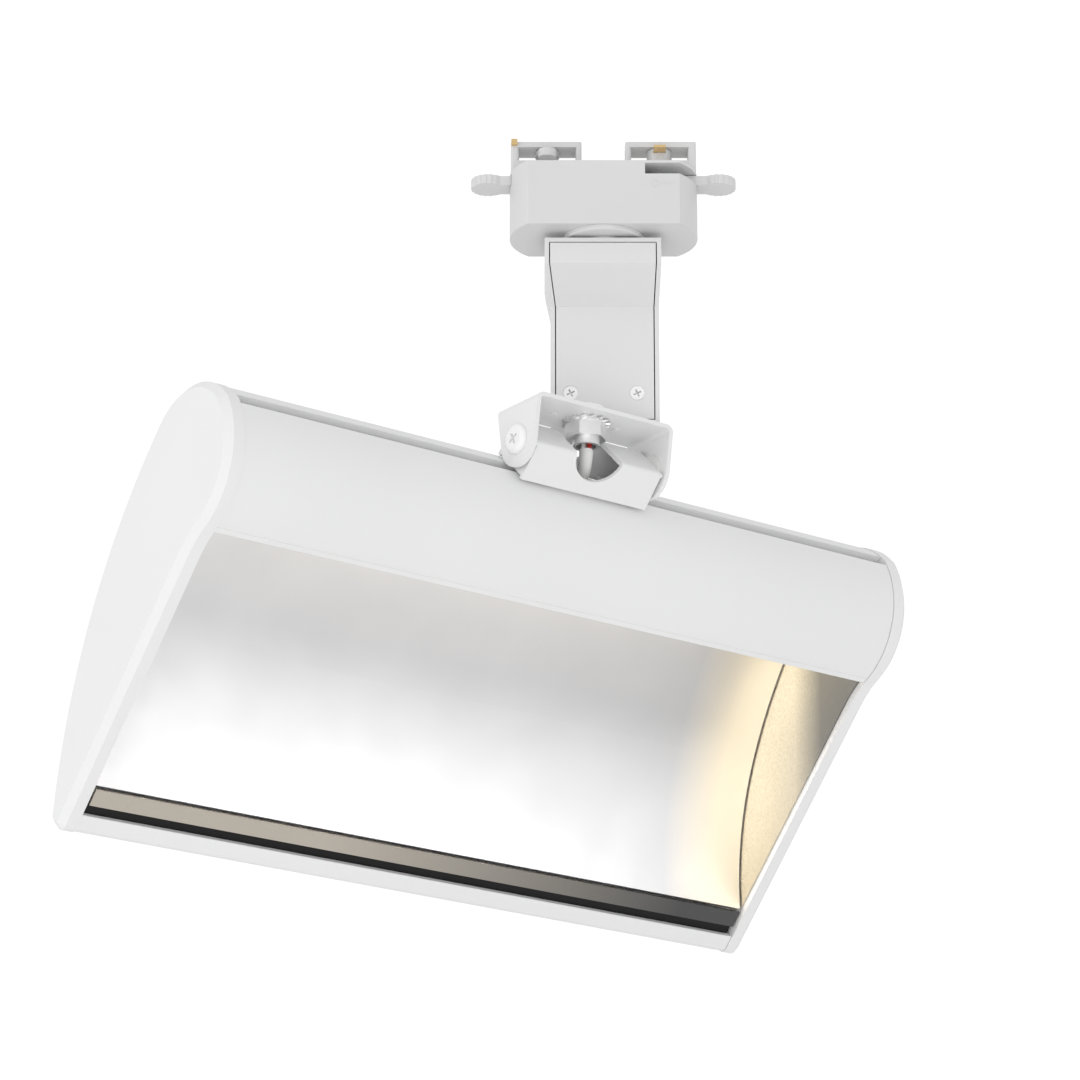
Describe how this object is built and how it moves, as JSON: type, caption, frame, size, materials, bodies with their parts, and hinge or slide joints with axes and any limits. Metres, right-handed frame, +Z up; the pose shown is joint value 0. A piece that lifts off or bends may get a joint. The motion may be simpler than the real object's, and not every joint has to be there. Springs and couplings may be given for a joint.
{
  "type": "track spotlight",
  "caption": "Track-mounted wall-washer spotlight: long curved head with an open reflector on a tilting saddle, swivelling yoke, driver arm and track adapter with quarter-turn levers.",
  "frame": {"origin": "middle of the adapter's top seating face, where it meets the underside of the track", "axes": "+Z up out of the seating face, +X along the track, +Y to the rear of the light"},
  "size_m": [0.3081, 0.2676, 0.2618],
  "materials": {
    "white_plastic": "satin",
    "white_paint": "satin powder coat",
    "steel": "zinc plated",
    "painted_screw": "satin",
    "washer_nylon": "matte",
    "brass": "bright",
    "reflector_aluminium": "satin",
    "black_plastic": "matte",
    "terminal_plastic": "satin",
    "circuit_board": "satin",
    "led_board": "matte",
    "led": "matte",
    "lens": "frosted",
    "aluminium": "mill finish",
    "cable_white": "satin",
    "core_red": "satin"
  },
  "bodies": {
    "adapter": {"adapter_housing": "white_plastic", "adapter_lid": "white_plastic", "lever_deck": "white_plastic", "adapter_screws": "steel", "terminal_block": "terminal_plastic", "ground_contact": "brass", "adapter_leads": "cable_white"},
    "lever_right": {"lever_contact": "white_plastic", "contact_carrier": "white_plastic", "contact_blades": "brass"},
    "lever_left": {"lever_lock": "white_plastic", "lock_cam": "white_plastic"},
    "arm": {"swivel_disc": "white_plastic", "swivel_stem": "steel", "swivel_washer": "steel", "swivel_nuts": "steel", "arm_body": "white_paint", "arm_cover": "white_paint", "arm_cover_screws": "steel", "driver_board": "circuit_board", "driver_transformer": "black_plastic", "driver_capacitors": "black_plastic", "driver_chips": "black_plastic", "arm_leads": "cable_white", "driver_output_lead": "cable_white", "yoke_stem": "steel", "yoke_lock_washer": "steel", "yoke_nut": "steel"},
    "yoke": {"yoke": "white_paint", "feed_cable": "cable_white", "feed_core_live": "core_red", "feed_cores": "cable_white"},
    "head": {"saddle": "white_paint", "saddle_screws": "steel", "saddle_tee_nuts": "steel", "pivot_screws": "painted_screw", "pivot_washers": "washer_nylon", "pivot_nuts": "steel", "cable_grommet": "cable_white", "head_terminal": "black_plastic", "head_extrusion": "white_paint", "end_cap_left": "white_paint", "end_cap_right": "white_paint", "reflector": "reflector_aluminium", "reflector_ribs": "aluminium", "reflector_end_left": "reflector_aluminium", "reflector_end_right": "reflector_aluminium", "front_trim": "reflector_aluminium", "shadow_strip": "black_plastic", "heat_sink": "aluminium", "led_board": "led_board", "led_chips": "led", "led_lens": "lens"}
  },
  "joints": [
    {"name": "lever_right_turn", "type": "hinge", "parent": "adapter", "child": "lever_right", "pos_m": [0.0206, 0, 0], "axis": [0, 0, 1], "range_deg": [-90, 0]},
    {"name": "lever_left_turn", "type": "hinge", "parent": "adapter", "child": "lever_left", "pos_m": [-0.0206, 0, 0], "axis": [0, 0, 1], "range_deg": [-90, 0]},
    {"name": "arm_swivel", "type": "hinge", "parent": "adapter", "child": "arm", "pos_m": [0, 0, 0], "axis": [0, 0, 1], "range_deg": [-175, 175]},
    {"name": "yoke_swivel", "type": "hinge", "parent": "arm", "child": "yoke", "pos_m": [-0.0067, 0, 0], "axis": [0, 0, 1], "range_deg": [-175, 175]},
    {"name": "head_tilt", "type": "hinge", "parent": "yoke", "child": "head", "pos_m": [-0.0067, 0, -0.1095], "axis": [0.8039, 0.5948, 0], "range_deg": [-60, 12], "deforming": ["feed_cable"]}
  ]
}
